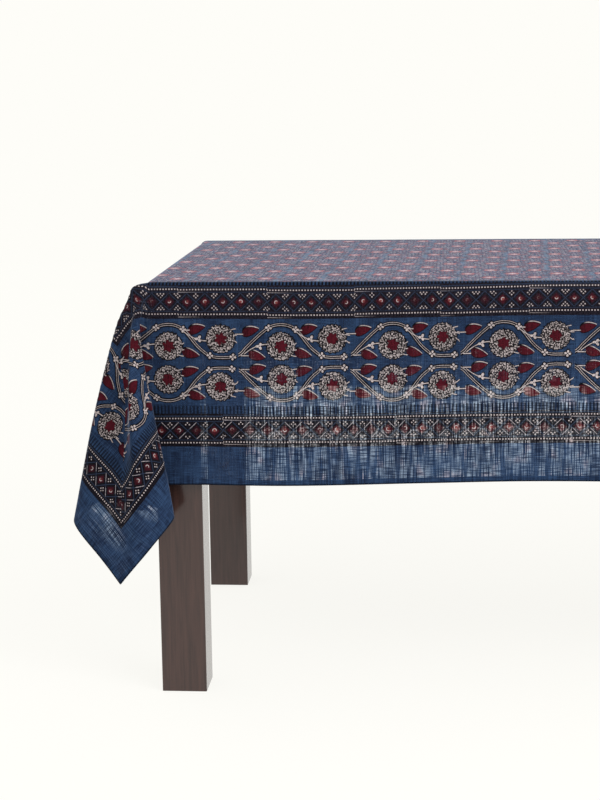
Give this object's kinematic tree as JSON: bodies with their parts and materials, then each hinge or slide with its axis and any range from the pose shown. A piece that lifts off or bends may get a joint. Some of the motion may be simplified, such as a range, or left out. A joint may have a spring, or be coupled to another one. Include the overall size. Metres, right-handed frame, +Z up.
{
  "type": "block-printed tablecloth draped on a dining table",
  "caption": "Rectangular block-printed cotton tablecloth draped over a plain square-legged dining table, with a folded flap hanging at every corner.",
  "frame": {"origin": "on the floor under the middle of the table top", "axes": "+X along the table's length, +Y to its back, +Z up"},
  "size_m": [1.736, 1.0083, 0.7603],
  "materials": {
    "printed_cotton": "hand block-printed slub cotton, indigo ground with near-black, madder red and cream, matt",
    "stained_wood": "dark espresso stain under a satin lacquer"
  },
  "bodies": {
    "root": {"tablecloth": "printed_cotton", "table_top": "stained_wood", "rail_front": "stained_wood", "rail_back": "stained_wood", "rail_left": "stained_wood", "rail_right": "stained_wood", "leg_front_left": "stained_wood", "leg_front_right": "stained_wood", "leg_back_left": "stained_wood", "leg_back_right": "stained_wood"}
  },
  "joints": []
}
